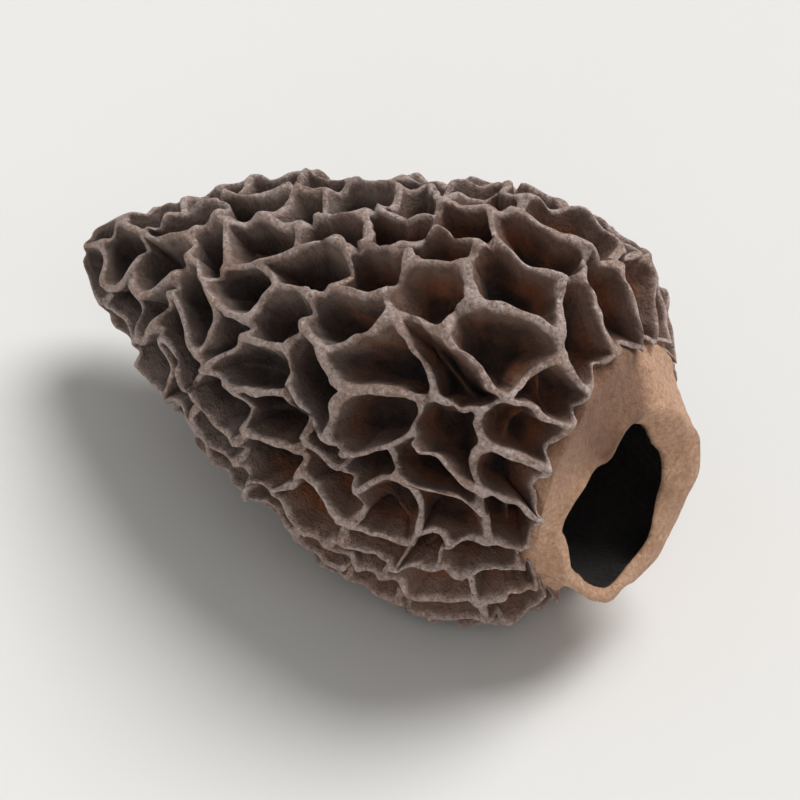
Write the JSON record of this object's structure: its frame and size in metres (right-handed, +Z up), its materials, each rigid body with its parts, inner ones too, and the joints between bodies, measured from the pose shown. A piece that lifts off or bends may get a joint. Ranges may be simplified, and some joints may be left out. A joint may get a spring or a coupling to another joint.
{
  "type": "dried black morel mushroom",
  "caption": "Dried black morel lying on its side: a blunt cone of a cap with a net of ridges and deep pits, and a short hollow stem stub.",
  "frame": {"origin": "centre of the footprint's bounding box, on the surface that the mushroom lies on", "axes": "+X along the length, from the tip of the cap towards the mouth of the stem; +Z up from the surface"},
  "size_m": [0.0634, 0.0384, 0.0374],
  "materials": {
    "morel_flesh": "matte"
  },
  "bodies": {
    "root": {"morel": "morel_flesh"}
  },
  "joints": []
}
